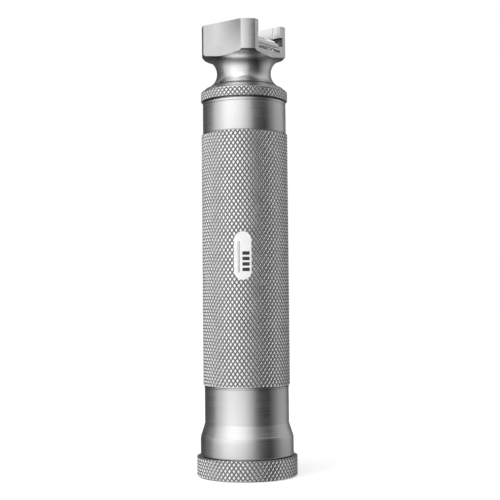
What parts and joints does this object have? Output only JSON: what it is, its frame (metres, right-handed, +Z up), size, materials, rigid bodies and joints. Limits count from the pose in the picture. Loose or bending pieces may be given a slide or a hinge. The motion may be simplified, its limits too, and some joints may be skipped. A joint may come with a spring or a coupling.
{
  "type": "laryngoscope handle",
  "caption": "Cylindrical battery handle with a knurled grip, screw-off bottom cap and a slotted hook-on head with a cross pin and a sprung contact for a laryngoscope blade.",
  "frame": {"origin": "centre of the bottom cap's lower face", "axes": "+Z up along the handle's axis to the head, -Y the open side of the blade slot, X along the hinge pin"},
  "size_m": [0.034, 0.034, 0.1534],
  "materials": {
    "satin_steel": "satin turned",
    "polished_steel": "polished",
    "nickel_plate": "nickel plated",
    "spring_steel": "drawn wire",
    "brass": "machined",
    "black_plastic": "moulded",
    "seal_rubber": "moulded",
    "white_lacquer": "gloss",
    "cell_jacket": "printed foil"
  },
  "bodies": {
    "handle": {"handle_tube": "satin_steel", "maker_plate": "white_lacquer", "lower_cell_can": "cell_jacket", "lower_cell_positive_cap": "nickel_plate", "lower_cell_end_seal": "black_plastic", "lower_cell_negative_plate": "nickel_plate", "upper_cell_can": "cell_jacket", "upper_cell_positive_cap": "nickel_plate", "upper_cell_end_seal": "black_plastic", "upper_cell_negative_plate": "nickel_plate"},
    "cap_lift": {"cap_seal": "seal_rubber"},
    "cap": {"bottom_cap": "satin_steel", "spring_seat": "brass", "spring_rivet": "nickel_plate", "battery_spring": "spring_steel"},
    "head_lift": {"head_seal": "seal_rubber"},
    "head": {"head_body": "satin_steel", "head_collar": "satin_steel", "hinge_pin": "polished_steel", "retaining_nut": "brass", "contact_bush": "black_plastic", "terminal_stud": "brass", "terminal_insulator": "black_plastic", "contact_spring": "spring_steel"},
    "plunger": {"contact_plunger": "brass"}
  },
  "joints": [
    {"name": "cap_travel", "type": "slide", "parent": "handle", "child": "cap_lift", "axis": [0, 0, -1], "range_m": [0, 0.0035]},
    {"name": "cap_turn", "type": "hinge", "parent": "cap_lift", "child": "cap", "pos_m": [0, 0, 0.00335], "axis": [0, 0, -1], "range_deg": [0, 1260]},
    {"name": "head_travel", "type": "slide", "parent": "handle", "child": "head_lift", "axis": [0, 0, 1], "range_m": [0, 0.0035]},
    {"name": "head_turn", "type": "hinge", "parent": "head_lift", "child": "head", "pos_m": [0, 0, 0.13], "axis": [0, 0, 1], "range_deg": [0, 1260]},
    {"name": "plunger_press", "type": "slide", "parent": "head", "child": "plunger", "axis": [0, 0, -1], "range_m": [0, 0.0015], "stiffness_N_per_m": 500, "springref_m": -0.0016, "deforming": ["contact_spring"]}
  ],
  "couplings": [
    {"joint": "cap_turn", "follows": "cap_travel", "rad_per_m": 6283.2},
    {"joint": "head_turn", "follows": "head_travel", "rad_per_m": 6283.2}
  ]
}
